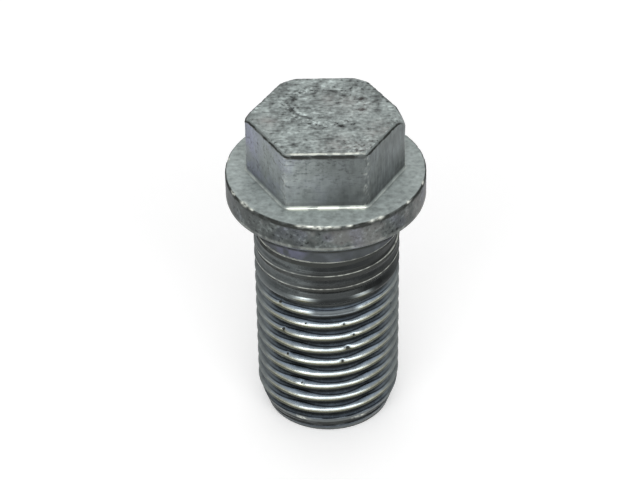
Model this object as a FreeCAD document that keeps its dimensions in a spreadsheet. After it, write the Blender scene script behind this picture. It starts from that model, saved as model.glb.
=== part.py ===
import FreeCAD, Part
import math
import os

import Sketcher
from FreeCAD import Vector

doc = FreeCAD.newDocument("OilDrainPlug")

# Driving sizes, in millimetres, with angles in degrees

sizes = doc.addObject("Spreadsheet::Sheet", "Sizes")

drivingSizes = (
    ("across_flats", 13.0, "hexagon for a 13 mm spanner"),
    ("hex_rise", 5.85, "height of the hexagon above the flange"),
    ("hex_corner_round", 0.8, "radius along the hexagon's upright edges"),
    ("head_edge_bevel", 0.24, "bevel all round the hexagon's top"),
    ("hex_foot_bevel", 0.25, "bevel where the hexagon meets the flange"),
    ("flange_diameter", 18.8, "outside of the round flange"),
    ("flange_thickness", 2.75, "flange, from sealing face to upper face"),
    ("flange_edge_bevel", 0.2, "bevel on the flange's two outer edges"),
    ("neck_length", 3.05, "plain neck under the sealing face"),
    ("washout_depth", 0.5, "depth of the first groove, where the thread runs out"),
    ("shank_length", 24.5, "sealing face to the end of the thread"),
    ("thread_diameter", 13.9, "over the crests, for an M14 thread"),
    ("thread_pitch", 1.5, "spacing of the crests"),
    ("thread_angle", 60.0, "angle between the two flanks"),
    ("point_length", 2.1, "tapered end of the thread"),
    ("point_diameter", 12.1, "end face"),
)
for row, (alias, size, meaning) in enumerate(drivingSizes, start=1):
    sizes.set(f"A{row}", meaning)
    sizes.set(f"B{row}", str(size))
    sizes.setAlias(f"B{row}", alias)
doc.recompute()

# Flat left on each thread crest, as a share of the pitch, in every metric thread

crestShare = 1 / 8

shankRadius = "Sizes.thread_diameter / 2"
grooveMouth = f"{1 - crestShare} * Sizes.thread_pitch"
threadDepth = f"{grooveMouth} / 2 / tan(Sizes.thread_angle / 2)"
flangeRadius = "Sizes.flange_diameter / 2"
headTop = "Sizes.flange_thickness + Sizes.hex_rise"
fullTurn = 360.0
small = 1e-4


def value(expression):
    """The number that an expression on the sheet comes to."""
    result = sizes.evalExpression(expression)
    return float(getattr(result, "Value", result))


body = doc.addObject("PartDesign::Body", "DrainPlug")
body.Label = "drain_plug"


def originFeature(role):
    return next(item for item in body.Origin.OriginFeatures if item.Role == role)


def newSketch(name, plane="XZ_Plane"):
    sketch = body.newObject("Sketcher::SketchObject", name)
    sketch.AttachmentSupport = [(originFeature(plane), "")]
    sketch.MapMode = "FlatFace"
    return sketch


def drive(sketch, name, expression, constraint):
    """Add a dimension and bind it to an expression on the sheet."""
    index = sketch.addConstraint(constraint)
    sketch.renameConstraint(index, name)
    sketch.setExpression(f"Constraints.{name}", expression)


def closedOutline(sketch, corners):
    """Straight edges from corner to corner, joined end to start."""
    sides = list(zip(corners, corners[1:] + corners[:1]))
    for start, end in sides:
        sketch.addGeometry(Part.LineSegment(Vector(*start, 0), Vector(*end, 0)))
    for edge in range(len(corners)):
        following = (edge + 1) % len(corners)
        sketch.addConstraint(Sketcher.Constraint("Coincident", edge, 2, following, 1))
    for edge, (start, end) in enumerate(sides):
        if start[0] == end[0]:
            sketch.addConstraint(Sketcher.Constraint("Vertical", edge))
        elif start[1] == end[1]:
            sketch.addConstraint(Sketcher.Constraint("Horizontal", edge))


def cornerAt(sketch, edge, name, across, up):
    """Fix the start of an edge by its distance from the axis and its height."""
    if across:
        drive(sketch, name + "Across", across,
              Sketcher.Constraint("DistanceX", -1, 1, edge, 1, value(across)))
    if up:
        drive(sketch, name + "Up", up,
              Sketcher.Constraint("DistanceY", -1, 1, edge, 1, value(up)))


def turn(kind, name, sketch):
    """Spin a half section all the way round the plug's axis."""
    feature = body.newObject(kind, name)
    feature.Profile = sketch
    feature.ReferenceAxis = (sketch, ["V_Axis"])
    feature.Angle = fullTurn
    doc.recompute()
    return feature


# Blank: shank and flange in one half section

blankSketch = newSketch("BlankSection")
closedOutline(blankSketch, [
    (0.0, value("-Sizes.shank_length")),
    (value(shankRadius), value("-Sizes.shank_length")),
    (value(shankRadius), 0.0),
    (value(flangeRadius), 0.0),
    (value(flangeRadius), value("Sizes.flange_thickness")),
    (0.0, value("Sizes.flange_thickness")),
])
blankSketch.addConstraint(Sketcher.Constraint("PointOnObject", 0, 1, -2))
cornerAt(blankSketch, 1, "shankFoot", shankRadius, "-Sizes.shank_length")
blankSketch.addConstraint(Sketcher.Constraint("PointOnObject", 3, 1, -1))
cornerAt(blankSketch, 4, "flangeTop", flangeRadius, "Sizes.flange_thickness")
turn("PartDesign::Revolution", "Blank", blankSketch)

# Hexagon, with corners on the X axis, rising out of the flange

hexRadius = "Sizes.across_flats / sqrt(3)"
hexSketch = newSketch("Hexagon", "XY_Plane")
hexSketch.setExpression("AttachmentOffset.Base.z", "Sizes.flange_thickness / 2")
cornerCount = 6
circle = cornerCount
closedOutline(hexSketch, [
    (value(hexRadius) * math.cos(math.radians(fullTurn / cornerCount * step)),
     value(hexRadius) * math.sin(math.radians(fullTurn / cornerCount * step)))
    for step in range(cornerCount)
])
hexSketch.addGeometry(Part.Circle(Vector(0, 0, 0), Vector(0, 0, 1), value(hexRadius)), True)
hexSketch.addConstraint(Sketcher.Constraint("Coincident", circle, 3, -1, 1))
drive(hexSketch, "cornerRadius", hexRadius,
      Sketcher.Constraint("Radius", circle, value(hexRadius)))
for edge in range(cornerCount):
    hexSketch.addConstraint(Sketcher.Constraint("PointOnObject", edge, 1, circle))
for edge in range(1, cornerCount):
    hexSketch.addConstraint(Sketcher.Constraint("Equal", 0, edge))
hexSketch.addConstraint(Sketcher.Constraint("PointOnObject", 0, 1, -1))

hexPad = body.newObject("PartDesign::Pad", "HexHead")
hexPad.Profile = hexSketch
hexPad.setExpression("Length", "Sizes.hex_rise + Sizes.flange_thickness / 2")
doc.recompute()


def near(first, second):
    return abs(first - second) < small


def flat(box):
    return box.ZLength < small


def edgesOf(feature, wanted):
    """Names of a feature's edges that pass a test."""
    return [f"Edge{index}" for index, edge in enumerate(feature.Shape.Edges, start=1)
            if wanted(edge)]


def upright(edge):
    box = edge.BoundBox
    return box.XLength < small and box.YLength < small and near(box.ZMax, value(headTop))


hexCorners = body.newObject("PartDesign::Fillet", "HexCorners")
hexCorners.Base = (hexPad, edgesOf(hexPad, upright))
hexCorners.setExpression("Radius", "Sizes.hex_corner_round")
doc.recompute()

# Bevels round the hexagon's top, round its foot and on both edges of the flange


def hexTop(edge):
    return flat(edge.BoundBox) and near(edge.BoundBox.ZMax, value(headTop))


def hexFoot(edge):
    box = edge.BoundBox
    return (near(box.ZMin, value("Sizes.flange_thickness")) and flat(box)
            and box.XMax < value(flangeRadius) - small)


def flangeRim(edge):
    return flat(edge.BoundBox) and near(edge.BoundBox.XMax, value(flangeRadius))


def newBevel(name, base, wanted, size):
    bevel = body.newObject("PartDesign::Chamfer", name)
    bevel.Base = (base, edgesOf(base, wanted))
    bevel.setExpression("Size", size)
    doc.recompute()
    return bevel


def withinLedge(size):
    return f"min({size}; {ledgeShare} * ({ledge}))"


# The foot's bevel and the rim's share the ledge between the hexagon's corners and the rim

cornerReach = f"{hexRadius} - Sizes.hex_corner_round * (2 / sqrt(3) - 1)"
ledge = f"{flangeRadius} - ({cornerReach})"
ledgeShare = 1 / 3
topBevel = newBevel("HeadEdge", hexCorners, hexTop, "Sizes.head_edge_bevel")
footBevel = newBevel("HexFoot", topBevel, hexFoot, withinLedge("Sizes.hex_foot_bevel"))
newBevel("FlangeEdges", footBevel, flangeRim, withinLedge("Sizes.flange_edge_bevel"))

# Thread grooves: the first is shallow, where the thread runs out, and the rest are full depth


def newGroove(name, depth, middle):
    """A sharp-rooted ring cut round the shank, as wide at the mouth as the crests allow."""
    lower = f"{middle} - {grooveMouth} / 2"
    upper = f"{middle} + {grooveMouth} / 2"
    root = f"{shankRadius} - {depth}"
    section = newSketch(name + "Section")
    closedOutline(section, [
        (value(shankRadius), value(lower)),
        (value(shankRadius), value(upper)),
        (value(root), value(middle)),
    ])
    cornerAt(section, 0, "lowerMouth", shankRadius, lower)
    cornerAt(section, 1, "upperMouth", None, upper)
    cornerAt(section, 2, "root", root, middle)
    return turn("PartDesign::Groove", name, section)


firstMiddle = f"-(Sizes.neck_length + {grooveMouth} / 2)"
newGroove("Washout", "Sizes.washout_depth", firstMiddle)
fullGroove = newGroove("ThreadGroove", threadDepth, f"{firstMiddle} - Sizes.thread_pitch")

grooves = body.newObject("PartDesign::LinearPattern", "Thread")
grooves.Originals = [fullGroove]
grooves.Direction = (originFeature("Z_Axis"), [""])
grooves.Reversed = True
grooves.Mode = "Spacing"
grooves.setExpression("Offset", "Sizes.thread_pitch")
grooves.setExpression(
    "Occurrences", "floor((Sizes.shank_length - Sizes.neck_length) / Sizes.thread_pitch) - 1")
body.Tip = grooves
doc.recompute()

# Tapered point: everything outside the end cone is cut away

pointTop = "Sizes.point_length - Sizes.shank_length"
pointSketch = newSketch("PointSection")
closedOutline(pointSketch, [
    (value("Sizes.point_diameter / 2"), value("-Sizes.shank_length")),
    (value(shankRadius), value(pointTop)),
    (value(shankRadius), value("-Sizes.shank_length")),
])
cornerAt(pointSketch, 0, "endFace", "Sizes.point_diameter / 2", "-Sizes.shank_length")
cornerAt(pointSketch, 1, "coneTop", shankRadius, pointTop)
turn("PartDesign::Groove", "Point", pointSketch)

# Nothing is written unless every object rebuilt and the plug is one sound solid

for item in doc.Objects:
    if "Invalid" in item.State or "Error" in item.State:
        raise RuntimeError(f"{item.Name} did not rebuild: {item.State}")
plug = body.Shape
if plug.isNull() or not plug.isValid() or len(plug.Solids) != 1:
    raise RuntimeError("drain_plug is not one valid solid")
plugTop = value(headTop)
plugFoot = -value("Sizes.shank_length")
if not (near(plug.BoundBox.ZMax, plugTop) and near(plug.BoundBox.ZMin, plugFoot)):
    raise RuntimeError("drain_plug has the wrong height")

os.makedirs("parts", exist_ok=True)
plug.exportStep(f"parts/{body.Label}.step")
print(f"{body.Label}: {plug.Volume:.1f} cubic mm, {len(plug.Faces)} faces, "
      f"{plug.BoundBox.XLength:.2f} x {plug.BoundBox.YLength:.2f} x {plug.BoundBox.ZLength:.2f} mm")
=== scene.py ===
import math
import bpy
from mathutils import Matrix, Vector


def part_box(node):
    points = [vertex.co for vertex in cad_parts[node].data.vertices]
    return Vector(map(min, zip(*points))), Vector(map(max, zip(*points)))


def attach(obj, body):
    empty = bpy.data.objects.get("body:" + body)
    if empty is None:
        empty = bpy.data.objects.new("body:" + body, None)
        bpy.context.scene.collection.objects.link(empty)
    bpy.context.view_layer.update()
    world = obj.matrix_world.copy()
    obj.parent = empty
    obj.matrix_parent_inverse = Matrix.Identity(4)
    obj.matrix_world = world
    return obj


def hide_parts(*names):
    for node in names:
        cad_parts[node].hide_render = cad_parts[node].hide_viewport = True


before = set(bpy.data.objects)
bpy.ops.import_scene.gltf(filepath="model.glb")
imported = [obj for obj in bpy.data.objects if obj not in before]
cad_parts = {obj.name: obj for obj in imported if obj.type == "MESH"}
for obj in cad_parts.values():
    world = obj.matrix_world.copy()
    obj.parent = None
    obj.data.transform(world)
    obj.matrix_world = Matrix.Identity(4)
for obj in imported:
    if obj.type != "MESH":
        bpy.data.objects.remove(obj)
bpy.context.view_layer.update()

from types import SimpleNamespace

import bmesh
import bpy
import numpy as np
from mathutils import Matrix, Vector, noise

mm = 0.001
cadLow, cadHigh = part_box("drain_plug")
print("frame loaded")


# Camera, placed where the photograph was taken from

viewpoint = {
    "position": (-0.632, -168.734, 120.644),   # millimetres
    "lookDown": 36.815,                        # degrees
    "roll": -0.919,
    "focalPixels": 2209.357,
    "pixelsAcross": 640,
    "sensorWidth": 36.0,
    "nearClip": 10.0,
}


def addCamera():
    bpy.ops.object.camera_add()
    camera = bpy.context.object
    camera.data.sensor_width = viewpoint["sensorWidth"]
    pixelWidth = viewpoint["sensorWidth"] / viewpoint["pixelsAcross"]
    camera.data.lens = viewpoint["focalPixels"] * pixelWidth
    camera.data.clip_start = viewpoint["nearClip"] * mm
    down = math.radians(viewpoint["lookDown"])
    roll = math.radians(viewpoint["roll"])
    forward = Vector((0, math.cos(down), -math.sin(down)))
    level = Vector((1, 0, 0))
    upward = level.cross(forward)
    right = math.cos(roll) * level + math.sin(roll) * upward
    up = -math.sin(roll) * level + math.cos(roll) * upward
    turned = Matrix((right, up, -forward)).transposed().to_4x4()
    camera.matrix_world = Matrix.Translation(Vector(viewpoint["position"]) * mm) @ turned
    bpy.context.scene.camera = camera


addCamera()
bpy.context.scene.view_settings.view_transform = "Standard"
print("camera placed")


# Shader maths: a socket that takes part in plain expressions

class Value:
    def __init__(self, graph, socket):
        self.graph = graph
        self.socket = socket

    def maths(self, operation, *given):
        return self.graph.node("ShaderNodeMath", {"operation": operation}, dict(enumerate(given)))

    def __add__(self, other):
        return self.maths("ADD", self, other)

    def __sub__(self, other):
        return self.maths("SUBTRACT", self, other)

    def __rsub__(self, other):
        return self.maths("SUBTRACT", other, self)

    def __mul__(self, other):
        return self.maths("MULTIPLY", self, other)

    def __abs__(self):
        return self.maths("ABSOLUTE", self)

    __radd__ = __add__
    __rmul__ = __mul__


class Graph:
    def __init__(self, material):
        material.use_nodes = True
        self.tree = material.node_tree
        self.tree.nodes.clear()

    def node(self, kind, settings, inputs, output=0):
        made = self.tree.nodes.new(kind)
        for name, setting in settings.items():
            setattr(made, name, setting)
        for name, given in inputs.items():
            if isinstance(given, Value):
                self.tree.links.new(given.socket, made.inputs[name])
            else:
                made.inputs[name].default_value = given
        return Value(self, made.outputs[output])

    def finish(self, shader):
        output = self.tree.nodes.new("ShaderNodeOutputMaterial")
        self.tree.links.new(shader.socket, output.inputs["Surface"])

    def blend(self, share, first, second):
        return self.node("ShaderNodeMix", {"data_type": "RGBA"}, {0: share, 6: first, 7: second}, 2)

    def step(self, value, low, high):
        return self.node("ShaderNodeMapRange", {"interpolation_type": "SMOOTHSTEP"},
                         {"Value": value, "From Min": low, "From Max": high})

    def bump(self, value, middle, reach):
        return 1 - self.step(abs(value - middle), 0.0, reach)

    def clamped(self, value, low=0.0, high=1.0):
        return self.node("ShaderNodeClamp", {}, {"Value": value, "Min": low, "Max": high})

    def grain(self, place, scale, detail=4.0, roughness=0.6):
        return self.node("ShaderNodeTexNoise", {},
                         {"Vector": place, "Scale": scale, "Detail": detail, "Roughness": roughness})

    def painted(self, name):
        return self.node("ShaderNodeAttribute", {"attribute_name": name}, {}, "Fac")

    def stretched(self, place, turn, scale):
        return self.node("ShaderNodeMapping", {}, {"Vector": place, "Rotation": turn, "Scale": scale})

    def hairlines(self, place, turn, scale, width):
        run = self.grain(self.stretched(place, turn, (0.14, 1.5, 1.0)), scale, 1.0)
        return 1 - self.step(abs(run - 0.5), 0.0, width)


# The plug: one closed skin, drawn up ring by ring from the thread and then formed

plug = {
    "columns": 216,                # round the axis, a multiple of the hexagon's corners
    "threadRows": (29, 10),        # bands, then rows in each band
    "crestRadius": 6.95,
    "pitch": 1.5,
    "flankAngle": 60.0,            # of a flank's outward normal, up from level
    "crestRound": 0.36,
    "rootRound": 0.1,
    "crestStart": -0.14,           # crest height in front, from the neck's lower edge
    "runoutShare": 0.22,           # depth one turn down, as a share of the full depth
    "runoutGain": 0.25,            # share gained with each turn
    "neckFoot": -3.12,             # lower edge of the plain neck
    "neckRadius": 6.93,
    "neckFillet": 0.1,
    "neckLip": 0.02,               # eased edge at the neck's foot
    "shadowSlope": -0.75,          # drop of the flange's shadow for each step inward
    "washout": (0.70, 0.70, 0.18, 0.22),  # ring below the neck: middle, half height, depth, ease
    "taperStart": -21.8,
    "endRadius": 6.03,
    "endRound": 0.12,
    "flangeRadius": 9.4,
    "flangeTop": 2.75,
    "flangeRound": 0.2,
    "footFillet": 0.14,
    "halfFlats": 6.5,
    "headTop": cadHigh.z / mm,
    "headBevel": 0.24,
    "bevelEase": 0.02,
    "topCentre": 0.2,              # radius of the last ring on the top face
    "endRings": (0.06, 0.06, 0.2, 0.8, 1.6, 2.4),  # insets on the end face
    "cornerRound": 0.8,
    "cornerCrowd": 0.6,            # how strongly columns gather at the hexagon's corners
}

# Wear on the head's top corners, by degrees round the axis: how far it reaches in, and how deep

wornCorners = {
    0: (1.05, 1.25),
    60: (0.8, 0.5),
    120: (0.8, 0.5),
    180: (0.8, 0.55),
    240: (0.5, 0.22),
    300: (0.55, 0.26),
}

# Nicks in the thread: degrees, height, radius, depth

nicks = (
    (-21.1, -11.5, 0.26, 0.22),
    (-15.2, -13.0, 0.22, 0.18),
    (-35.7, -14.0, 0.24, 0.20),
    (-74.2, -13.6, 0.28, 0.22),
    (-79.0, -15.1, 0.22, 0.16),
    (-69.4, -12.1, 0.16, 0.12),
    (-77.3, -10.6, 0.18, 0.12),
    (-128.5, -12.2, 0.24, 0.16),
    (-131.5, -9.1, 0.22, 0.14),
    (-112.5, -18.1, 0.15, 0.10),
    (-125.3, -15.1, 0.17, 0.12),
    (-108.0, -10.6, 0.14, 0.10),
    (-90.5, -17.6, 0.13, 0.10),
    (48.0, -10.5, 0.22, 0.16),
    (150.0, -15.2, 0.22, 0.16),
)

# Chips along the flange's upper edge: degrees, half width in degrees, depth

chips = (
    (-156.6, 1.6, 0.10),
    (-143.9, 2.6, 0.20),
    (-137.0, 1.0, 0.08),
    (-104.0, 2.2, 0.06),
    (-99.0, 1.8, 0.10),
    (-94.5, 2.4, 0.13),
    (-89.0, 2.0, 0.10),
    (-84.5, 1.6, 0.08),
    (-77.5, 1.0, 0.06),
    (-62.4, 2.4, 0.10),
    (-58.0, 1.2, 0.08),
    (-35.8, 1.5, 0.08),
    (-16.0, 1.0, 0.06),
    (38.0, 2.2, 0.12),
    (84.0, 2.6, 0.10),
    (131.0, 3.0, 0.12),
    (170.0, 2.0, 0.08),
)

# Strokes left on the head's top by forging: x, y, turn in degrees, half length, half width,
# change of tone, depth in millimetres

strokes = (
    (-2.95, 2.75, 70, 0.95, 0.20, -0.55, 0.05),
    (-2.95, 1.10, -66, 0.80, 0.17, -0.60, 0.05),
    (-2.10, 0.05, -30, 0.65, 0.16, -0.55, 0.04),
    (-1.35, -0.50, -48, 0.40, 0.15, -0.45, 0.03),
    (-2.60, 0.95, -58, 0.75, 0.15, 0.50, -0.01),
    (-2.00, 0.22, -25, 0.45, 0.18, 0.60, -0.01),
    (-0.90, 0.40, -20, 0.45, 0.18, 0.75, -0.01),
    (0.66, 0.45, 25, 0.50, 0.16, 0.70, -0.01),
    (2.00, 1.53, 0, 0.80, 0.14, 0.50, -0.01),
    (0.20, -0.28, 5, 1.20, 0.13, -0.40, 0.03),
    (-0.95, 3.80, 35, 0.50, 0.16, -0.55, 0.04),
    (0.80, 4.05, -25, 0.40, 0.18, -0.70, 0.05),
    (1.80, 3.25, -35, 0.32, 0.18, -0.60, 0.04),
    (2.50, 4.55, 50, 0.30, 0.16, -0.60, 0.04),
    (-0.60, 2.60, 12, 0.70, 0.14, -0.30, 0.02),
    (0.25, 5.60, 5, 0.40, 0.16, 0.55, -0.01),
    (-0.12, 5.00, 40, 0.28, 0.16, 0.45, -0.01),
    (1.15, 4.42, 0, 0.32, 0.16, 0.55, -0.01),
    (3.40, 4.35, -30, 0.32, 0.22, 0.55, -0.01),
    (3.40, 2.70, 15, 0.36, 0.26, -0.85, 0.05),
    (3.45, 0.95, 75, 0.38, 0.19, -0.85, 0.05),
    (3.05, 1.80, 60, 0.40, 0.17, 0.45, -0.01),
    (1.45, -1.74, -10, 0.36, 0.16, -0.90, 0.05),
    (2.50, -1.50, 25, 0.42, 0.14, -0.65, 0.03),
    (-3.70, 2.45, 20, 0.22, 0.17, -0.50, 0.03),
    (1.60, -0.15, 12, 0.60, 0.14, 0.40, -0.01),
    (4.60, 0.90, -20, 0.50, 0.16, -0.35, 0.02),
    (-4.60, -0.60, 15, 0.40, 0.16, -0.40, 0.02),
)
strokeWaver = 0.12                 # millimetres

# Brownish stains on the head's top: x, y and radius in millimetres, strength

stains = (
    (2.5, 1.5, 1.9, 0.4),
    (-5.4, -1.0, 1.0, 0.6),
    (1.4, -4.7, 1.6, 0.45),
    (5.0, -2.6, 1.6, 0.45),
    (3.4, -5.4, 1.3, 0.4),
    (0.4, 2.8, 1.3, 0.35),
)


facing = 0.9                       # a normal's least share along the axis, for a flat face
slack = 0.001                      # millimetres, where two heights or radii are compared
loose = 0.01                       # millimetres, where a drawn ring is picked out
front = -90                        # degrees round the axis, towards the camera

# Rings along each stretch of the outline, from the neck up to the middle of the head

stretches = {
    "neck": 24,
    "neckFillet": 2,
    "underside": 4,
    "lowerEdge": 5,
    "rim": 15,
    "upperEdge": 6,
    "ledge": 13,
    "footFillet": 6,
    "sides": 26,
    "bevelEase": 2,
    "bevel": 4,
    "topFace": 32,
}


def editMesh(piece):
    return bmesh.from_edit_mesh(piece.data)


def pick(piece, kind, wanted):
    bpy.ops.mesh.select_mode(type={"faces": "FACE", "edges": "EDGE"}[kind])
    bpy.ops.mesh.select_all(action="DESELECT")
    skin = editMesh(piece)
    for part in getattr(skin, kind):
        if wanted(part):
            part.select_set(True)
    bmesh.update_edit_mesh(piece.data)


def arc(centre, radius, start, end, steps):
    places = []
    for step in range(steps + 1):
        turn = math.radians(start + (end - start) * step / steps)
        places.append((centre[0] + radius * math.cos(turn), centre[1] + radius * math.sin(turn)))
    return places


def spaced(start, end, steps):
    return [tuple(a + (b - a) * step / steps for a, b in zip(start, end))
            for step in range(1, steps + 1)]


def outline():
    flange, top = plug["flangeRadius"], plug["flangeTop"]
    edge, foot, bevel = plug["flangeRound"], plug["footFillet"], plug["headBevel"]
    flats, head, neck = plug["halfFlats"], plug["headTop"], plug["neckRadius"]
    corner, ease, lip = plug["neckFillet"], plug["bevelEase"], plug["neckLip"]
    rings = [(neck - lip / 2, plug["neckFoot"] + lip), (neck, plug["neckFoot"] + 3 * lip)]
    rings += spaced(rings[-1], (neck, -corner), stretches["neck"])
    rings += arc((neck + corner, -corner), corner, 180, 90, stretches["neckFillet"])[1:]
    rings += spaced(rings[-1], (flange - edge, 0), stretches["underside"])
    rings += arc((flange - edge, edge), edge, -90, 0, stretches["lowerEdge"])[1:]
    rings += spaced(rings[-1], (flange, top - edge), stretches["rim"])
    rings += arc((flange - edge, top - edge), edge, 0, 90, stretches["upperEdge"])[1:]
    rings += spaced(rings[-1], (flats + foot, top), stretches["ledge"])
    rings += arc((flats + foot, top + foot), foot, -90, -180, stretches["footFillet"])[1:]
    rings += spaced(rings[-1], (flats, head - bevel - 2 * ease), stretches["sides"])
    rings += spaced(rings[-1], (flats - ease, head - bevel + ease), stretches["bevelEase"])
    rings += spaced(rings[-1], (flats - bevel + ease, head - ease), stretches["bevel"])
    rings += spaced(rings[-1], (flats - bevel - 2 * ease, head), stretches["bevelEase"])
    rings += spaced(rings[-1], (plug["topCentre"], head), stretches["topFace"])
    return rings


def drawUp(piece):
    radius, height = plug["crestRadius"], plug["neckFoot"]
    pick(piece, "faces", lambda face: face.normal.z > facing)
    for ringRadius, ringHeight in outline():
        lift = (0, 0, (ringHeight - height) * mm)
        bpy.ops.mesh.extrude_region_move(TRANSFORM_OT_translate={"value": lift})
        share = ringRadius / radius
        bpy.ops.transform.resize(value=(share, share, 1), center_override=(0, 0, 0))
        radius, height = ringRadius, ringHeight


def addShank():
    foot = cadLow.z / mm
    tall = plug["neckFoot"] - foot
    bpy.ops.object.select_all(action="DESELECT")
    bpy.ops.mesh.primitive_cylinder_add(
        vertices=plug["columns"], radius=plug["crestRadius"] * mm, depth=tall * mm,
        end_fill_type="NGON", location=(0, 0, (foot + tall / 2) * mm))
    piece = bpy.context.object
    piece.name = "plated_plug"
    bpy.ops.object.transform_apply(location=True, rotation=True, scale=True)
    bpy.ops.object.mode_set(mode="EDIT")
    return piece


def cutRows(piece):
    reach = loose * mm
    low, high = cadLow.z - reach, plug["neckFoot"] * mm + reach
    for rows in plug["threadRows"]:
        pick(piece, "edges", lambda edge: all(low < v.co.z < high for v in edge.verts)
             and abs(edge.verts[0].co.z - edge.verts[1].co.z) > reach)
        bpy.ops.mesh.subdivide(number_cuts=rows - 1)


def closeEnd(piece):
    pick(piece, "faces", lambda face: face.normal.z < -facing and len(face.verts) == plug["columns"]
         and face.calc_center_median().z < cadLow.z + loose * mm)
    for inward in plug["endRings"]:
        bpy.ops.mesh.inset(thickness=inward * mm)


def field(points, scale, shift):
    offset = Vector((shift, -shift, shift * 0.5))
    return np.array([noise.noise(Vector(point) * scale + offset) for point in points])


def smooth(value, low, high):
    share = np.clip((value - low) / (high - low), 0, 1)
    return share * share * (3 - 2 * share)


def bell(value, centre, width):
    return np.exp(-((value - centre) / width) ** 2)


def awayFrom(angle, degrees):
    return (np.degrees(angle) - degrees + 180) % 360 - 180


# Distance from the axis to a hexagon with rounded corners, in each direction

def hexagonReach(angle, halfFlats, cornerRound):
    sector = math.pi / 3
    fromFlat = (angle + sector * 6) % sector - sector / 2
    centre = (halfFlats - cornerRound) / math.cos(sector / 2)
    fromCorner = sector / 2 - np.abs(fromFlat)
    onArc = np.abs(np.tan(fromFlat)) * halfFlats > (halfFlats - cornerRound) * math.tan(sector / 2)
    arcReach = centre * np.cos(fromCorner) + np.sqrt(
        np.maximum(cornerRound ** 2 - (centre * np.sin(fromCorner)) ** 2, 0))
    return np.where(onArc, arcReach, halfFlats / np.cos(fromFlat))


# How round rings become six-sided, in millimetres

hexForm = {
    "roundCentre": (1.0, 4.5),     # from round to six-sided between these radii on the top face
    "roundRim": 0.6,               # round again this far inside the flange's edge
    "crowdFade": (0.6, 0.9),       # columns spread again, from past the flats to inside the edge
    "leastRound": 0.02,            # smallest corner radius
    "mostRound": 0.98,             # largest corner radius, as a share of the ring's own
    "wornAbove": 1.5,              # corners wear only this far above the flange
    "wornSpan": 30,                # and within these degrees of the corner
}


def formHead(radius, angle, height):
    top, head, flats, flange = plug["flangeTop"], plug["headTop"], plug["halfFlats"], plug["flangeRadius"]
    inHead = (height > top - slack) & (radius < flange - plug["flangeRound"] - loose)
    crowdFrom, crowdTo = hexForm["crowdFade"]
    crowd = inHead * (1 - smooth(radius, flats + crowdFrom, flange - crowdTo))
    angle = angle - plug["cornerCrowd"] / 6 * np.sin(6 * angle) * crowd
    corner = np.clip(plug["cornerRound"] + radius - flats, hexForm["leastRound"],
                     radius * hexForm["mostRound"])
    hexShare = inHead * smooth(radius, *hexForm["roundCentre"]) * (
        1 - smooth(radius, flats + plug["footFillet"], flange - hexForm["roundRim"]))
    radius = radius + (hexagonReach(angle, radius, corner) - radius) * hexShare
    cornerReach = hexagonReach(np.zeros(1), flats, plug["cornerRound"])[0]
    for degrees, (reach, deep) in wornCorners.items():
        atCorner = inHead & (height > top + hexForm["wornAbove"]) & (
            np.abs(awayFrom(angle, degrees)) < hexForm["wornSpan"])
        inward = np.maximum(radius - (cornerReach - reach), 0) / reach
        limit = head - deep * inward ** 2
        height = np.where(atCorner, np.minimum(height, limit), height)
    return radius, angle, height


# How far the full thread lies below its crest, by the distance from a crest along the axis

def threadDrop(away):
    rise = math.radians(plug["flankAngle"])
    crest, root, half = plug["crestRound"], plug["rootRound"], plug["pitch"] / 2
    onCrest, onRoot = crest * math.sin(rise), half - root * math.sin(rise)
    crestDrop = crest - np.sqrt(np.maximum(crest ** 2 - away ** 2, 0))
    flankDrop = crest * (1 - math.cos(rise)) + (away - onCrest) * math.tan(rise)
    depth = (crest + root) * (1 - math.cos(rise)) + (onRoot - onCrest) * math.tan(rise)
    rootDrop = depth - root + np.sqrt(np.maximum(root ** 2 - (half - away) ** 2, 0))
    return np.select([away < onCrest, away < onRoot], [crestDrop, flankDrop], rootDrop)


# Turns of the helix from its first crest line down to a point, by the point's share of a turn

def turnsDown(lead, height):
    return lead - (height - plug["neckFoot"] - plug["crestStart"]) / plug["pitch"]


def formThread(radius, angle, height):
    foot, neckFoot = cadLow.z / mm, plug["neckFoot"]
    inThread = height < neckFoot - slack
    lead = (angle + math.pi / 2) / (2 * math.pi)
    down = turnsDown(lead, height)
    aboveCrest = (np.round(down) - down) * plug["pitch"]
    turnsIn = np.floor(down) - lead
    drop = threadDrop(np.abs(aboveCrest))
    ramp = np.clip(plug["runoutShare"] + plug["runoutGain"] * (turnsIn - 1), 0, 1)
    drop = drop * ramp
    middle, half, deep, ease = plug["washout"]
    washout = deep * smooth(half - np.abs(neckFoot - middle - height), 0, ease)
    cone = plug["endRadius"] + (height - foot) / (plug["taperStart"] - foot) * (
        plug["crestRadius"] - plug["endRadius"])
    cone -= plug["endRound"] * (1 - smooth(height, foot, foot + plug["endRound"]))
    share = radius / plug["crestRadius"]
    rolled = plug["crestRadius"] - np.maximum(drop, washout)
    formed = np.where(height < foot + slack, share * cone, np.minimum(rolled, cone))
    return np.where(inThread, formed, radius), down * 2 * math.pi, np.round(down) - lead, inThread


# Grain fields that roughen the skin: scale for each millimetre, and shift

grainFields = {
    "coarse": (0.55, 3.1),
    "fine": (1.9, 7.7),
    "tiny": (5.0, 12.3),
}

# Where the parts of the skin begin and end, in millimetres

zones = {
    "sideAbove": 0.3,              # above the flange
    "bevelDown": 0.03,             # below the bevel
    "footHigh": 0.26,
    "footWide": 0.28,              # outside the flats
    "rimAbove": 0.1,
    "ledgeFrom": 0.2,              # outside the flats
    "neckTop": -0.05,
    "neckWithin": 7.1,
    "flangeEdge": (0.06, 0.04),    # inside the rim and below the flange's top
}


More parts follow.
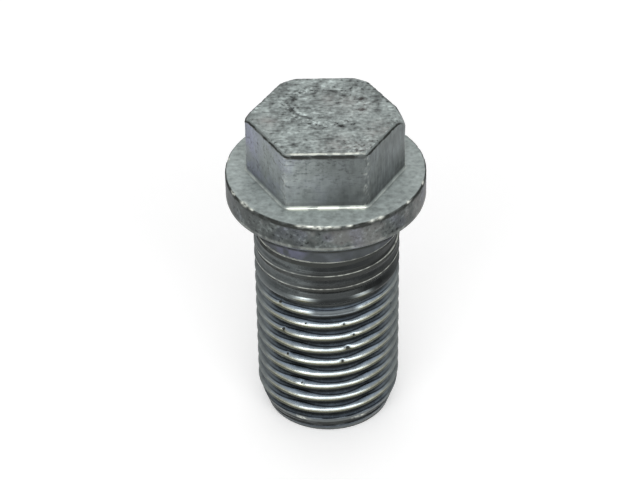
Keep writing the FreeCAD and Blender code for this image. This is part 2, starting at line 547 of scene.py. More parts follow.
def readSkin(mesh):
    places = np.empty(len(mesh.vertices) * 3)
    mesh.vertices.foreach_get("co", places)
    places = places.reshape(-1, 3) / mm
    skin = SimpleNamespace()
    skin.drawnRadius, skin.drawnHeight = np.hypot(places[:, 0], places[:, 1]), places[:, 2].copy()
    drawnAngle = np.arctan2(places[:, 1], places[:, 0])
    radius, skin.angle, skin.height = formHead(skin.drawnRadius, drawnAngle, skin.drawnHeight)
    skin.radius, skin.winding, skin.turnsIn, skin.inThread = formThread(radius, skin.angle, skin.height)
    skin.spots = np.stack([skin.radius * np.cos(skin.angle), skin.radius * np.sin(skin.angle),
                           skin.height], 1)
    for name, settings in grainFields.items():
        setattr(skin, name, field(skin.spots, *settings))
    return skin


def findZones(skin):
    flange, top, head, flats = plug["flangeRadius"], plug["flangeTop"], plug["headTop"], plug["halfFlats"]
    radius, height = skin.drawnRadius, skin.drawnHeight
    skin.onSide = (height > top + zones["sideAbove"]) & (radius > flats - slack)
    skin.onTop = height > head - slack
    skin.onBevel = (height > head - plug["headBevel"] - zones["bevelDown"]) & ~skin.onTop
    skin.onFoot = (height > top - slack) & (height < top + zones["footHigh"]) & (
        radius < flats + zones["footWide"])
    skin.onRim = (radius > flange - loose) & (height > zones["rimAbove"])
    skin.onLedge = (np.abs(height - top) < loose) & (radius > flats + zones["ledgeFrom"])
    skin.onNeck = (height > plug["neckFoot"] - slack) & (height < zones["neckTop"]) & (
        radius < zones["neckWithin"])
    inside, below = zones["flangeEdge"]
    skin.edgeOff = np.hypot(radius - flange + inside, height - top + below)
    skin.inFront = np.clip(-np.sin(skin.angle), 0, 1)
    skin.frontEdge = smooth(skin.inFront, math.cos(math.radians(31)), math.cos(math.radians(27)))
    skin.rightSide = smooth(np.cos(skin.angle), 0.3, 0.7)
    skin.leftSide = smooth(-np.cos(skin.angle), -0.3, 0.5)


# Unevenness in millimetres: even, then for each unit of coarse, fine and tiny grain

unevenness = {
    "topFace": (0.012, 0.0, 0.016, 0.01),
    "sides": (-0.018, 0.025, 0.012, 0.0),
    "bevel": (-0.01, 0.0, 0.05, 0.04),
    "rim": (-0.012, -0.016, 0.0, -0.014),
}

# Worn ring on the top face, in millimetres

wornRing = {
    "middle": 1.6,                 # behind the axis
    "flattening": 1.15,
    "radius": 3.35,
    "waver": 0.6,
    "halfWidth": 0.55,
    "depth": 0.014,
}


def uneven(part, coarse, fine, tiny):
    even, byCoarse, byFine, byTiny = unevenness[part]
    return byCoarse * coarse + byFine * fine + byTiny * tiny + even


def dentHead(skin):
    coarse, fine, tiny = skin.coarse, skin.fine, skin.tiny
    across, back = skin.spots[:, 0], skin.spots[:, 1]
    swirl = np.hypot(across, (back - wornRing["middle"]) * wornRing["flattening"])
    skin.ring = skin.onTop * bell(swirl, wornRing["radius"] + wornRing["waver"] * coarse,
                                  wornRing["halfWidth"])
    dent = uneven("topFace", np.abs(coarse), np.abs(fine), np.abs(tiny))
    dent = dent + wornRing["depth"] * skin.ring * (1 + 2 * fine)
    skin.stroke = np.zeros_like(skin.radius)
    for x, y, turn, long, wide, change, depth in strokes:
        cos, sin = math.cos(math.radians(turn)), math.sin(math.radians(turn))
        offX, offY = across - x + strokeWaver * fine, back - y + strokeWaver * tiny
        along, aside = offX * cos + offY * sin, offY * cos - offX * sin
        shape = skin.onTop * np.exp(-(along / long) ** 2 - (aside / wide) ** 2)
        skin.stroke = skin.stroke + change * shape
        dent = dent + depth * shape
    inside = smooth(plug["halfFlats"] - skin.drawnRadius, 0.3, 1.2)
    skin.height = skin.height - skin.onTop * inside * np.maximum(dent, 0)
    skin.radius = skin.radius + skin.onSide * uneven("sides", coarse, fine, tiny)
    skin.radius = skin.radius + skin.onBevel * uneven("bevel", coarse, fine, tiny)
    skin.radius = skin.radius + skin.onRim * uneven("rim", coarse, fine, tiny)
    edgeWear = 0.01 + 0.05 * smooth(fine, 0.1, 0.6)
    skin.radius = skin.radius - bell(skin.edgeOff, 0, 0.2) * edgeWear


def nickThread(skin):
    skin.damage = np.zeros_like(skin.radius)
    for degrees, height, size, depth in nicks:
        across = np.radians(awayFrom(skin.angle, degrees)) * plug["crestRadius"]
        reach = across ** 2 + (skin.drawnHeight - height) ** 2
        skin.radius = skin.radius - np.exp(-reach / size ** 2) * skin.inThread * depth
        skin.damage = np.maximum(skin.damage, np.exp(-reach / (0.7 * size) ** 2) * skin.inThread)


def chipFlange(skin):
    skin.chipped = np.zeros_like(skin.radius)
    ragged = np.clip(0.75 + 1.6 * skin.tiny, 0, 1.3)
    for degrees, width, depth in chips:
        shape = bell(awayFrom(skin.angle, degrees), 0, width) * bell(
            skin.edgeOff, 0, 0.08 + 0.4 * depth)
        shape = shape * ragged
        skin.radius = skin.radius - shape * depth
        skin.height = skin.height - shape * depth * 0.6
        skin.chipped = np.maximum(skin.chipped, shape)


# Tone of each part of the skin, from black at 0 to white at 1

tones = {
    # neck: dark as painted shade under the flange
    "neck": 0.062,
    "neckCloud": 0.02,
    "neckViolet": 0.045,
    "topFace": 0.325,
    "stroke": 1.6,
    "bevel": 0.27,
    "foot": 0.34,
    "side": 0.088,
    # sideHigh, sideLeft and sideRight: painted light and shade, the hexagon's sides lighter higher up and
    # on the left and right faces
    "sideHigh": 0.03,
    "sideLeft": 0.135,
    "sideRight": 0.035,
    "rim": 0.085,
    "ledge": 0.39,
    # ledgeFront: painted light, the flange's top lighter in front
    "ledgeFront": 0.06,
    # runout: dark as painted shade under the flange; runoutLeft and runoutEdge are painted light, lighter
    # on the left and away from the front
    "runout": 0.022,
    "runoutLeft": 0.075,
    "runoutEdge": 0.03,
    "elsewhere": 0.2,
}


def toneOf(skin):
    # Painted light and shade: sides lighter higher up and on the left and right, neck and run-out dark
    # under the flange, ledge lighter in front
    side = (tones["side"] + tones["sideHigh"] * smooth(skin.drawnHeight, 3.5, 6.5)
            + tones["sideLeft"] * skin.leftSide + tones["sideRight"] * skin.rightSide)
    runout = (tones["runout"] + tones["runoutLeft"] * smooth(-np.cos(skin.angle), 0.08, 0.58)
              + tones["runoutEdge"] * smooth(np.sin(skin.angle), -0.6, -0.1))
    neck = (tones["neck"] + tones["neckCloud"] * smooth(skin.coarse, 0.0, 0.3)
            + tones["neckViolet"] * skin.violet)
    top = tones["topFace"] * (1 + tones["stroke"] * skin.stroke)
    ledge = tones["ledge"] + tones["ledgeFront"] * skin.inFront
    return np.select(
        [skin.inThread, skin.onNeck, skin.onTop, skin.onBevel, skin.onFoot, skin.onSide, skin.onRim,
         skin.onLedge],
        [runout, neck, top, tones["bevel"], tones["foot"], side, tones["rim"], ledge],
        tones["elsewhere"])


def stainOf(skin):
    stain = np.zeros_like(skin.radius)
    for x, y, size, strength in stains:
        reach = (skin.spots[:, 0] - x) ** 2 + (skin.spots[:, 1] - y) ** 2
        stain = np.maximum(stain, skin.onTop * np.exp(-reach / size ** 2) * strength)
    return stain


def blueOf(skin):
    farLeft = smooth(-np.cos(skin.angle), 0.85, 0.99)
    neck = 0.7 + 0.3 * smooth(skin.coarse, -0.1, 0.2)
    rim = 0.6 * smooth(skin.coarse, 0.0, 0.35)
    side = 0.12 + 0.25 * skin.leftSide * smooth(skin.coarse + 0.5 * skin.fine, 0.05, 0.4) + 0.5 * farLeft
    return np.clip(skin.onNeck * neck + skin.onRim * rim + skin.onSide * side, 0, 1)


# Lines of grime and painted shade: strength, then offset and half width in millimetres

grimeLines = {
    "bevel": (1.1, 0.16, 0.085),        # below the head's top: painted shade of the undercut, with dirt
    "farEdge": (0.35, 0.0, 0.13),       # round the far part of the top
    "underBevel": (1.2, 0.30, 0.13),    # below the head's top, in front: painted shade under the lip, with dirt
    "rim": (1.1, 0.24, 0.10),           # below the flange's top
    "flangeEdge": (0.95, 0.0, 0.10),    # round the flange's upper edge
    "hexFoot": (0.5, 0.45, 0.14),       # above the flange: painted shade in the crease at the hexagon's foot
    "underFlange": (0.8, 0.0, 0.35),    # above the sealing face: painted shade under the flange
    "shadow": (0.9, 0.05, 0.12),        # below the edge of the flange's shadow
    "threadStart": (0.8, 0.22, 0.2),    # below the neck: painted shade under the neck's lower edge
    "threadEnd": (0.7, 0.0, 0.3),       # above the plug's foot
}
nickGrime = 0.3


def grimeOf(skin):
    flange, top, head, flats = plug["flangeRadius"], plug["flangeTop"], plug["headTop"], plug["halfFlats"]
    radius, height, fine, tiny = skin.drawnRadius, skin.drawnHeight, skin.fine, skin.tiny
    line = SimpleNamespace(**grimeLines)
    middleFront = skin.inFront ** 4
    nearFront = 0.03 * skin.frontEdge
    kept = 1 - 0.8 * bell(awayFrom(skin.angle, 0), 0, 8)
    farSide = smooth(np.sin(skin.angle), 0.1, 0.5)
    sideways = plug["neckRadius"] * np.sin(skin.angle + math.pi / 2)
    overhang = np.sqrt(flange ** 2 - sideways ** 2) - plug["neckRadius"] * skin.inFront
    shadowEdge = plug["shadowSlope"] * overhang - line.shadow[1]
    edgeOff = np.hypot(radius - flange + 0.03, height - top + 0.08)
    # Dirt lines with painted shade: in the crease at the hexagon's foot, under the flange, along the
    # flange's shadow, below the neck, on the bevel and under the top edge's lip
    grime = (line.bevel[0] * skin.onBevel * kept
             * bell(head - height, line.bevel[1] + nearFront, line.bevel[2] + nearFront + 0.04 * tiny)
             + line.farEdge[0] * farSide * skin.onTop
             * bell(radius, flats - plug["headBevel"] - line.farEdge[1], line.farEdge[2])
             + line.underBevel[0] * skin.onSide * skin.frontEdge
             * bell(height, head - line.underBevel[1], line.underBevel[2] + 0.07 * fine)
             + line.rim[0] * skin.onRim
             * bell(height, top - line.rim[1] - 0.10 * middleFront + 0.08 * fine,
                    line.rim[2] + 0.07 * middleFront + 0.08 * tiny)
             + line.flangeEdge[0] * bell(edgeOff, line.flangeEdge[1], line.flangeEdge[2])
             + line.hexFoot[0] * skin.onSide * bell(height, top + line.hexFoot[1], line.hexFoot[2])
             + line.underFlange[0] * skin.onNeck
             * bell(height, line.underFlange[1], line.underFlange[2])
             + line.shadow[0] * skin.onNeck * bell(height, shadowEdge, line.shadow[2])
             + line.threadStart[0] * skin.inThread
             * bell(height, plug["neckFoot"] - line.threadStart[1], line.threadStart[2])
             + line.threadEnd[0] * skin.inThread
             * bell(height, cadLow.z / mm + line.threadEnd[1], line.threadEnd[2])
             + nickGrime * skin.damage)
    return np.clip(grime, 0, 1) * (1 - np.clip(1.5 * skin.chipped, 0, 1))


# Edges rubbed bare, and painted highlights on edges: strength, then offset and half width in millimetres

wornAndHighlightLines = {
    "ridge": (1.5, 0.02, 0.10),         # inside the bevel's upper edge: painted highlight in front, with a rubbed burr
    "rim": (0.22, 0.28, 0.08),          # above the flange's foot
    "foot": (2.1, 0.07, 0.06),          # outside the flats: painted highlight in the foot's fillet, strongest in front
    "taper": (1.0, -22.75, 0.16),       # above the sealing face
}
rubbedSpots = (-113, -64)               # on the taper, in degrees


def wearAndHighlightOf(skin):
    radius, height, fine, tiny = skin.drawnRadius, skin.drawnHeight, skin.fine, skin.tiny
    line = SimpleNamespace(**wornAndHighlightLines)
    flats, head = plug["halfFlats"], plug["headTop"]
    ridge = bell(radius, flats - plug["headBevel"] - line.ridge[1], line.ridge[2])
    ridge = ridge * (height > head - 0.05) * skin.frontEdge
    ragged = np.maximum(0.9 + 0.9 * fine + 0.7 * tiny, 0.5)
    upright = skin.onSide * bell(np.abs(awayFrom(6 * skin.angle, 0)), 0, 16) * smooth(tiny, 0.1, 0.4)
    spots = sum(bell(awayFrom(skin.angle, place), 0, 5) for place in rubbedSpots)
    # The ridge and foot lines are painted highlights; chips, spots and the rest are wear
    wearAndHighlight = (line.ridge[0] * ridge * ragged
            + 1.3 * skin.chipped + 0.13 * upright
            + line.rim[0] * skin.onRim * bell(height, line.rim[1], line.rim[2])
            + line.foot[0] * skin.onFoot * (0.09 + 0.91 * skin.frontEdge)
            * bell(radius, flats + line.foot[1], line.foot[2])
            + 0.3 * (skin.onNeck & (height < plug["neckFoot"] + 0.05))
            + line.taper[0] * skin.inThread * spots
            * bell(height, line.taper[1], line.taper[2]) * smooth(tiny, -0.25, 0.25))
    return np.clip(wearAndHighlight, 0, 1)


# Flecks on the head's top, the pale ones partly painted glints, in millimetres: a patch near a front
# corner, and the outer edge

fleckedSpots = {
    "patch": (3.1, -5.2),
    "patchSpread": 1.4,            # square of its half width
    "edge": (5.6, 6.2),
}


def flecksOf(skin):
    x, y = fleckedSpots["patch"]
    reach = (skin.spots[:, 0] - x) ** 2 + (skin.spots[:, 1] - y) ** 2
    flecks = (0.7 * skin.ring + skin.onTop * np.exp(-reach / fleckedSpots["patchSpread"])
              + 0.5 * skin.onTop * smooth(skin.drawnRadius, *fleckedSpots["edge"]))
    return np.clip(flecks, 0, 1)


# Where the thread's finish and its painted light and shade change: in turns from the first crest line,
# degrees from the front and millimetres below the sealing face

threadFades = {
    "full": (3.0, 3.7),            # turns over which the full bands set in
    "bright": (3.1, 3.6),
    "dullTurn": (3.985, 0.065, 0.025),          # middle, half width, edge
    "flashes": ((3.055, 0.02, 0.95), (2.92, 0.018, 0.7)),  # more painted highlight on the crest: middle, half width, strength
    "runoutEnd": (2.3, 2.6),
    "lastFrom": (2.7, 2.8),
    "lastTo": (3.1, 3.25),
    "shadeRight": (-0.4, 0.1),     # cosine of the angle
    # dipFrom and dipTo: degrees from the front where the painted light fades and comes back
    "dipFrom": (44, 68),
    "dipTo": (90, 110),
    "rise": 0.13,                  # millimetres that the painted highlight bands climb at the sides
    "riseBy": 38,
    "shoulders": ((-115, 17, 1.0), (-57, 13, 0.8)),  # painted highlight at the sides: degrees, half width, strength
    "shoulderLow": (10, 18),
    "shoulderEnd": (20.6, 21.8),
    "taper": (22.0, 22.6),
    "taperCrest": (21.9, 22.4),
}


def threadPaint(skin):
    fade = SimpleNamespace(**threadFades)
    turns, down, angle = skin.turnsIn, -skin.drawnHeight, skin.angle
    offFront = np.abs(awayFrom(angle, front))
    middle, half, edge = fade.dullTurn
    crestShare = smooth(turns, *fade.bright) - smooth(half - np.abs(turns - middle), 0, edge)
    for middle, half, strength in fade.flashes:
        crestShare = crestShare + strength * bell(turns, middle, half)
    crestShare = np.clip(crestShare, 0, 1) * (1 - 0.75 * smooth(down, *fade.taperCrest))
    shoulder = sum(strength * bell(awayFrom(angle, place), 0, half)
                   for place, half, strength in fade.shoulders)
    shoulder = shoulder * (0.75 + 0.3 * smooth(down, *fade.shoulderLow)) * (
        1 - 0.7 * smooth(down, *fade.shoulderEnd))
    runout = skin.inThread * (1 - smooth(turns, *fade.runoutEnd))
    return {
        "rolled": skin.inThread,
        "windingSine": np.sin(skin.winding),
        "windingCosine": np.cos(skin.winding),
        "fullThread": smooth(turns, *fade.full),
        "crestShare": crestShare,
        "taper": 1 - 0.3 * smooth(down, *fade.taper),
        # frontal: share of the painted light kept, less at the sides; shoulder: painted highlight at the
        # sides
        "frontal": 1 - 0.85 * smooth(offFront, *fade.dipFrom) * (1 - smooth(offFront, *fade.dipTo)),
        "rise": fade.rise * np.clip(offFront / fade.riseBy, 0, 1) ** 2,
        "shoulder": shoulder,
        "runoutLine": runout,
        "runoutShade": runout * (0.55 + 0.45 * smooth(np.cos(angle), *fade.shadeRight)),
        "lastLine": skin.inThread * smooth(turns, *fade.lastFrom) * (1 - smooth(turns, *fade.lastTo)),
    }


def headPaint(skin):
    high = smooth(skin.drawnHeight, 4.3, 6.0)
    return {
        "tone": toneOf(skin),
        "blue": blueOf(skin),
        "violet": skin.violet,
        "grime": grimeOf(skin),
        "wearAndHighlight": wearAndHighlightOf(skin),
        "stain": stainOf(skin),
        "flecks": flecksOf(skin),
        "dashes": skin.onSide * (0.3 + 0.7 * high) * (1 - 0.7 * skin.rightSide),
        "drag": skin.onSide * (0.25 + 0.75 * skin.rightSide),
        "topFace": skin.onTop,
        "rimSide": skin.onRim,
        "ledge": skin.onLedge,
        "leftSide": skin.onSide * skin.leftSide,
    }


def formSkin(piece):
    mesh = piece.data
    skin = readSkin(mesh)
    findZones(skin)
    dentHead(skin)
    nickThread(skin)
    chipFlange(skin)
    radius = np.minimum(skin.radius, plug["flangeRadius"] - 2 * slack)
    height = np.clip(skin.height, cadLow.z / mm, plug["headTop"] - slack)
    formed = np.stack([radius * np.cos(skin.angle), radius * np.sin(skin.angle), height], 1) * mm
    mesh.vertices.foreach_set("co", formed.ravel())
    skin.violet = skin.onNeck * bell(awayFrom(skin.angle, -121), 0, 15) * smooth(
        skin.fine + 0.5 * skin.coarse, -0.35, 0.15)
    for name, amounts in {**headPaint(skin), **threadPaint(skin)}.items():
        layer = mesh.attributes.new(name, "FLOAT", "POINT")
        layer.data.foreach_set("value", np.asarray(amounts, dtype=np.float32))
    mesh.update()


finish = {
    "plate": (0.89, 1.0, 0.975, 1),
    "flankBlue": (0.68, 0.85, 1.06, 1),
    "blueZinc": (0.84, 0.90, 1.16, 1),
    "violetZinc": (0.86, 0.89, 1.24, 1),
    # warmHighlight tints the painted highlight's lower edge; oliveFilm is painted shade below the crests
    "warmHighlight": (1.0, 0.97, 0.70, 1),
    "oliveFilm": (0.062, 0.060, 0.026, 1),
    "brownStain": (0.29, 0.27, 0.26, 1),
    # darkGrimeAndShade: colour of dirt and of painted shade
    "darkGrimeAndShade": (0.022, 0.024, 0.022, 1),
    # bareSteelAndHighlight: colour of bare wear and of painted highlights
    "bareSteelAndHighlight": (0.86, 0.89, 0.81, 1),
    "specular": 0.2,
    "roughness": 0.52,
    "metal": 0.6,
    "bumpStrength": 0.45,
    "bumpHeight": 0.06,            # millimetres
}

# Bands of the full thread, painted light and shade: a painted highlight on the crest, painted reflection
# on the flank, painted shade below the crest and in the root; heights in millimetres above a crest line,
# tones and shares

bands = {
    "brightFrom": (-0.04, 0.02),
    "brightTo": (0.30, 0.34),
    "brightTone": 0.10,
    "crestTone": 0.31,             # added on the crest: painted highlight, also a rubbed crest
    "shoulderTone": 0.45,
    "shoulderLift": 0.12,
    "flankTone": 0.04,
    "flankGain": 0.19,
    "flankShoulder": 0.4,
    "flankTo": (0.40, 0.58),
    "darkLine": (0.365, 0.08),     # middle and reach
    "darkLineDepth": 0.21,
    "sideTone": 0.145,
    "startTone": 0.45,
    "oliveMiddle": -0.10,
    "oliveFade": (0.06, 0.14),
    "warmLine": (0.05, 0.11),
    "warmth": 0.75,
    "under": (-0.36, 0.29),
    "underShade": 1.15,
    "rootFrom": (0.58, 0.66),
    "rootShade": 0.6,
    "tintLine": (0.42, 0.2),
}

# Thin painted highlights and painted shade of the run-out: middle and reach in millimetres above a crest
# line, and strengths

runout = {
    "line": (0.04, 0.09),
    "lineHighlight": 0.3,
    "grooveMiddle": -0.27,
    "grooveFade": (0.14, 0.36),
    "grooveShade": 1.5,
    "above": (0.27, 0.17),
    "aboveShade": 0.6,
    "lastLine": (-0.34, 0.08),
    "lastHighlight": 0.3,
    "lastUnder": (-0.56, 0.26),
    "lastShade": 1.4,
}

# Even grain: scale, detail and roughness

grains = {
    "cloud": (300.0, 3.0),
    "mottle": (1100.0, 3.0, 0.5),
    "speck": (2700.0, 2.0, 0.5),
    "grit": (8000.0, 1.0),
}

# Stretched grain: turn, stretch, then scale and detail

draggedGrains = {
    "drag": ((0.12, 0.1, 0.3), (1.7, 1.7, 0.3), 2000.0, 2.0),
    "smear": ((0.0, 0.0, 0.12), (0.75, 1.3, 1.2), 1500.0, 2.0),
    "chatter": ((0.0, 0.1, 0.1), (0.6, 1.0, 1.7), 3000.0, 2.0),
}

# Scratches: turn, scale and width

scratches = {
    "scratch": ((0.0, 0.0, 0.35), 1300.0, 0.03),
    "scratchAcross": ((0.0, 0.0, -0.55), 1150.0, 0.03),
    "scratchDark": ((0.0, 0.0, 0.05), 1500.0, 0.045),
    "slash": ((0.5, -0.7, 0.3), 700.0, 0.04),
}

pits = {
    "sunk": 0.6,                   # centre below the surface, as a share of the nick's depth
    "ragged": 1.6,
    "edge": (0.5, 0.8),            # distance from the centre, for each unit of the nick's radius
    "farAway": 9.0,
}


# Distance to the nearest nick, in its own radii

def nickDistance(graph, place):
    nearest = pits["farAway"]
    for degrees, height, size, depth in nicks:
        down = turnsDown((degrees - front) / 360, height)
        offCrest = np.abs(np.round(down) - down) * plug["pitch"]
        reach = plug["crestRadius"] - float(threadDrop(offCrest)) - pits["sunk"] * depth
        turn = math.radians(degrees)
        spot = Vector((reach * math.cos(turn), reach * math.sin(turn), height)) * mm
        away = graph.node("ShaderNodeVectorMath", {"operation": "DISTANCE"}, {0: place, 1: spot}, "Value")
        radii = away * (1 / (size * mm))
        nearest = radii.maths("MINIMUM", radii, nearest)
    return nearest


# Looks of the thread, painted along the helix: tone with painted highlight and reflection, olive painted
# shade, painted shade below crests and in roots, and thin painted highlights

def threadLooks(graph, tone, rolled):
    look = SimpleNamespace(rolled=rolled)
    formed = graph.painted("fullThread") * rolled
    windingSine = graph.painted("windingSine")
    winding = windingSine.maths("ARCTAN2", windingSine, graph.painted("windingCosine"))
    aboveCrest = winding * (-plug["pitch"] / (2 * math.pi))
    aboveBand = aboveCrest - graph.painted("rise") * formed
    crestShare, frontal = graph.painted("crestShare"), graph.painted("frontal")
    shoulder = graph.painted("shoulder")
    upperEdge = aboveCrest - bands["shoulderLift"] * shoulder * formed
    # Painted highlight on the crest's band, painted reflection and a dark line on the flank; sideTone and
    # frontal fade this painted light away from the front
    bright = rolled * graph.step(aboveBand, *bands["brightFrom"]) * (
        1 - graph.step(upperEdge, *bands["brightTo"]))
    flank = bands["flankTone"] + bands["flankGain"] * (
        1 - graph.step(abs(aboveCrest), *bands["flankTo"])) * (1 + bands["flankShoulder"] * shoulder)
    flank = flank - bands["darkLineDepth"] * graph.bump(upperEdge, *bands["darkLine"])
    band = (bands["brightTone"] + bands["crestTone"] * crestShare) * (
        1 + bands["shoulderTone"] * shoulder)
    thread = flank + bright * (band - flank)
    thread = bands["sideTone"] + frontal * (thread - bands["sideTone"])
    tone = tone + formed * (thread - tone) + bands["startTone"] * crestShare * bright * (1 - formed)
    look.tone = tone * graph.painted("taper")

    # Painted shade below the crest, tinted olive, and a warm tint on the lower edge of the painted
    # highlight
    look.olive = rolled * (1 - graph.step(abs(aboveBand - bands["oliveMiddle"]), *bands["oliveFade"]))
    look.olive = look.olive * crestShare * frontal
    look.warmth = bands["warmth"] * graph.bump(aboveBand, *bands["warmLine"]) * crestShare * frontal
    look.tint = formed * frontal * (0.2 + 0.8 * graph.bump(aboveCrest, *bands["tintLine"]))
    grime = formed * frontal * (bands["underShade"] * graph.bump(aboveBand, *bands["under"])
                                + bands["rootShade"] * graph.step(abs(aboveCrest), *bands["rootFrom"]))

    # Run-out: painted shade in the grooves and below the crests, thin painted highlights on the crest
    # edges
    shade, lastLine = graph.painted("runoutShade"), graph.painted("lastLine")
    groove = 1 - graph.step(abs(aboveCrest - runout["grooveMiddle"]), *runout["grooveFade"])
    grime = grime + runout["grooveShade"] * shade * groove
    grime = grime + runout["aboveShade"] * shade * graph.bump(aboveCrest, *runout["above"])
    look.grime = grime + runout["lastShade"] * lastLine * graph.bump(aboveCrest, *runout["lastUnder"])
    lines = runout["lineHighlight"] * graph.painted("runoutLine") * graph.bump(aboveCrest, *runout["line"])
    look.lines = lines + runout["lastHighlight"] * lastLine * graph.bump(aboveCrest, *runout["lastLine"])
    look.bright, look.crestShare, look.side = bright, crestShare, rolled * (1 - frontal)
    return look


# Grain, scratches and flecks that the whole plug shares

def surfaceGrain(graph, place):
    grain = SimpleNamespace()
    for name, settings in grains.items():
        setattr(grain, name, graph.grain(place, *settings))
    for name, (turn, stretch, scale, detail) in draggedGrains.items():
        setattr(grain, name, graph.grain(graph.stretched(place, turn, stretch), scale, detail))
    for name, (turn, scale, width) in scratches.items():
        setattr(grain, name, graph.hairlines(place, turn, scale, width))
    mottle, speck = grain.mottle, grain.speck
    grain.patchy = graph.step(grain.cloud, 0.42, 0.58)
    grain.scratch = grain.scratch * grain.patchy
    grain.scratchAcross = grain.scratchAcross * (1 - grain.patchy)
    grain.scratchDark = grain.scratchDark * graph.step(mottle, 0.48, 0.6)
    grain.slash = grain.slash * graph.step(mottle, 0.42, 0.58)
    grain.fleckPale = graph.step(speck + 0.35 * (mottle - 0.5), 0.56, 0.68)
    grain.fleckDark = graph.step(1 - speck + 0.35 * (mottle - 0.5), 0.56, 0.70)
    grain.dash = graph.step(1 - grain.chatter, 0.54, 0.70)
    ragged = pits["ragged"] * (grain.grit - 0.5)
    grain.pit = 1 - graph.step(nickDistance(graph, place) + ragged, *pits["edge"])
    return grain


def zincPlatedSteel():
    material = bpy.data.materials.new("zincPlatedSteel")
    graph = Graph(material)
    place = graph.node("ShaderNodeTexCoord", {}, {}, "Object")
    topFace, rim, dashes = graph.painted("topFace"), graph.painted("rimSide"), graph.painted("dashes")
    dragged, ledge, flecks = graph.painted("drag"), graph.painted("ledge"), graph.painted("flecks")
    thread = threadLooks(graph, graph.painted("tone"), graph.painted("rolled"))
    grain = surfaceGrain(graph, place)
    cloud, mottle, speck = grain.cloud - 0.5, grain.mottle - 0.5, grain.speck - 0.5
    smear, pale, dark = grain.smear - 0.5, grain.fleckPale, grain.fleckDark

    streaks = 0.8 * smear + 0.35 * (grain.scratch + grain.scratchAcross) - 0.35 * grain.scratchDark
    vary = 1 + 0.6 * cloud + 0.8 * mottle + 0.35 * speck
    vary = vary + topFace * (0.8 * cloud + 1.5 * mottle + 0.9 * speck + streaks + 0.2 * pale - 0.2 * dark)
    vary = vary + ledge * (0.8 * smear + 0.5 * speck) + rim * (0.6 * pale - 0.55 * dark + mottle)
    # Pale and dark flecks, the pale ones partly painted glints
    vary = vary + 0.9 * flecks * (pale - dark) - 0.45 * graph.painted("leftSide") * grain.slash
    vary = vary + 1.3 * dragged * (grain.drag - 0.5) - dashes * (0.32 * grain.dash + 0.2 * dark)
    albedo = graph.clamped(thread.tone * graph.clamped(vary, 0.15, 2.2), 0.01, 0.9)

    blue = graph.clamped(graph.painted("blue") * (0.35 + 0.65 * grain.patchy) + 0.12 * thread.rolled)
    plate = graph.blend(blue, finish["plate"], finish["blueZinc"])
    plate = graph.blend(graph.painted("violet"), plate, finish["violetZinc"])
    plate = graph.blend(thread.tint, plate, finish["flankBlue"])
    plate = graph.blend(thread.warmth, plate, finish["warmHighlight"])
    colour = graph.node("ShaderNodeVectorMath", {"operation": "SCALE"}, {0: plate, "Scale": albedo})

    stain = graph.clamped(graph.painted("stain") * (0.4 + 1.2 * graph.step(grain.mottle, 0.4, 0.65))
                          + 0.25 * rim * graph.step(grain.cloud, 0.5, 0.6))
    # Dirt, pits and painted shade, darkened together
    dirtAndShade = graph.clamped((graph.painted("grime") + thread.grime + 1.4 * grain.pit)
                         * (0.75 + 0.6 * graph.step(grain.mottle, 0.3, 0.6)))
    # Bare wear and painted highlights on edges and run-out crests
    wornAndHighlit = graph.clamped((graph.painted("wearAndHighlight") + thread.lines)
                         * (0.5 + 0.95 * graph.step(grain.mottle, 0.38, 0.56)))
    colour = graph.blend(0.7 * stain, colour, finish["brownStain"])
    colour = graph.blend(0.9 * thread.olive, colour, finish["oliveFilm"])
    colour = graph.blend(dirtAndShade, colour, finish["darkGrimeAndShade"])
    colour = graph.blend(wornAndHighlit, colour, finish["bareSteelAndHighlight"])

    rough = finish["roughness"] + 0.3 * mottle + 0.15 * speck + 0.4 * dirtAndShade - 0.12 * wornAndHighlit
    rough = rough - 0.26 * thread.rolled + 0.2 * thread.bright * (1 - thread.crestShare)
    rough = rough + 0.35 * thread.side + 0.35 * thread.olive
    metal = finish["metal"] - 0.25 * ledge + 0.1 * thread.rolled - 0.6 * thread.side
    metal = metal + 0.25 * thread.bright * thread.crestShare - 0.5 * thread.olive
    metal = metal + 0.3 * wornAndHighlit - 0.8 * dirtAndShade
    relief = 0.5 * grain.mottle + 0.3 * grain.speck + 0.5 * dragged * grain.drag + 0.5 * rim * grain.speck
    relief = relief + topFace * (0.45 * grain.smear + 0.3 * grain.scratch - 0.4 * grain.scratchDark)
    relief = relief + flecks * pale - 0.4 * dashes * grain.dash
    bump = graph.node("ShaderNodeBump", {}, {
        "Strength": finish["bumpStrength"], "Distance": finish["bumpHeight"] * mm, "Height": relief})
    graph.finish(graph.node("ShaderNodeBsdfPrincipled", {}, {
        "Base Color": colour, "Metallic": graph.clamped(metal),
        "Roughness": graph.clamped(rough, 0.12, 0.9), "Specular IOR Level": finish["specular"],
        "Normal": bump}))
    return material


def makePlug():
    piece = addShank()
    drawUp(piece)
    cutRows(piece)
    closeEnd(piece)
    bpy.ops.mesh.select_all(action="SELECT")
    bpy.ops.mesh.normals_make_consistent(inside=False)
    bpy.ops.object.mode_set(mode="OBJECT")
    formSkin(piece)
    bpy.ops.object.select_all(action="DESELECT")
    piece.select_set(True)
    bpy.context.view_layer.objects.active = piece
    bpy.ops.object.shade_smooth_by_angle(angle=math.radians(50))
    piece.data.materials.append(zincPlatedSteel())
    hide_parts("drain_plug")
    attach(piece, "root")
    return piece


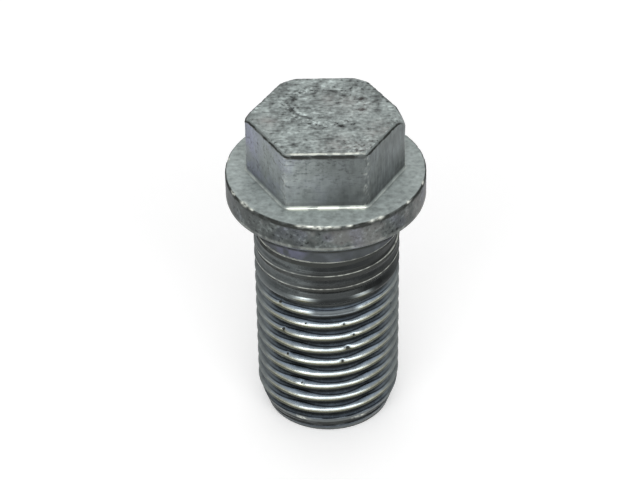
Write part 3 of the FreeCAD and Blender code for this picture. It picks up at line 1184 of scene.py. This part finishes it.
platedPlug = makePlug()
print("plug modelled:", len(platedPlug.data.vertices), "vertices")


# Floor, lamps and sky

studio = {
    "floorSize": 3000.0,
    "floorColour": (0.95, 0.95, 0.95, 1),
    "floorRoughness": 0.9,
    "floorGlow": 0.19,             # seen by the camera and in reflections only
    "skyStrength": 0.5,
    "skyColour": (1, 1, 1, 1),
    "aim": (0.0, 0.0, -6.0),
}

# Lamps: name, place in millimetres, width, height and watts

lamps = (
    ("frontSoftbox", (0, -430, 190), 900, 380, 3.2),
    ("backCard", (0, 360, 290), 560, 340, 0.42),
)


def addFloor():
    bpy.ops.mesh.primitive_plane_add(size=studio["floorSize"] * mm, location=(0, 0, cadLow.z))
    floor = bpy.context.object
    floor.name = "studio_floor"
    material = bpy.data.materials.new("paleFloor")
    graph = Graph(material)
    paper = graph.node("ShaderNodeBsdfPrincipled", {}, {
        "Base Color": studio["floorColour"], "Roughness": studio["floorRoughness"]})
    rays = [graph.node("ShaderNodeLightPath", {}, {}, kind)
            for kind in ("Is Camera Ray", "Is Glossy Ray", "Is Transmission Ray")]
    seen = graph.clamped(rays[0] + rays[1] + rays[2])
    glow = graph.node("ShaderNodeEmission", {}, {"Strength": studio["floorGlow"] * seen})
    graph.finish(graph.node("ShaderNodeAddShader", {}, {0: paper, 1: glow}))
    floor.data.materials.append(material)


def addLamp(name, place, width, height, watts):
    bpy.ops.object.light_add(type="AREA", location=Vector(place) * mm)
    lamp = bpy.context.object
    lamp.name = name
    lamp.data.shape = "RECTANGLE"
    lamp.data.size = width * mm
    lamp.data.size_y = height * mm
    lamp.data.energy = watts
    away = Vector(place) - Vector(studio["aim"])
    lamp.rotation_euler = away.to_track_quat("Z", "Y").to_euler()


def addSky():
    world = bpy.data.worlds.new("studioSky")
    bpy.context.scene.world = world
    world.use_nodes = True
    background = world.node_tree.nodes["Background"]
    background.inputs["Color"].default_value = studio["skyColour"]
    background.inputs["Strength"].default_value = studio["skyStrength"]


addFloor()
for lamp in lamps:
    addLamp(*lamp)
addSky()
print("studio lit")
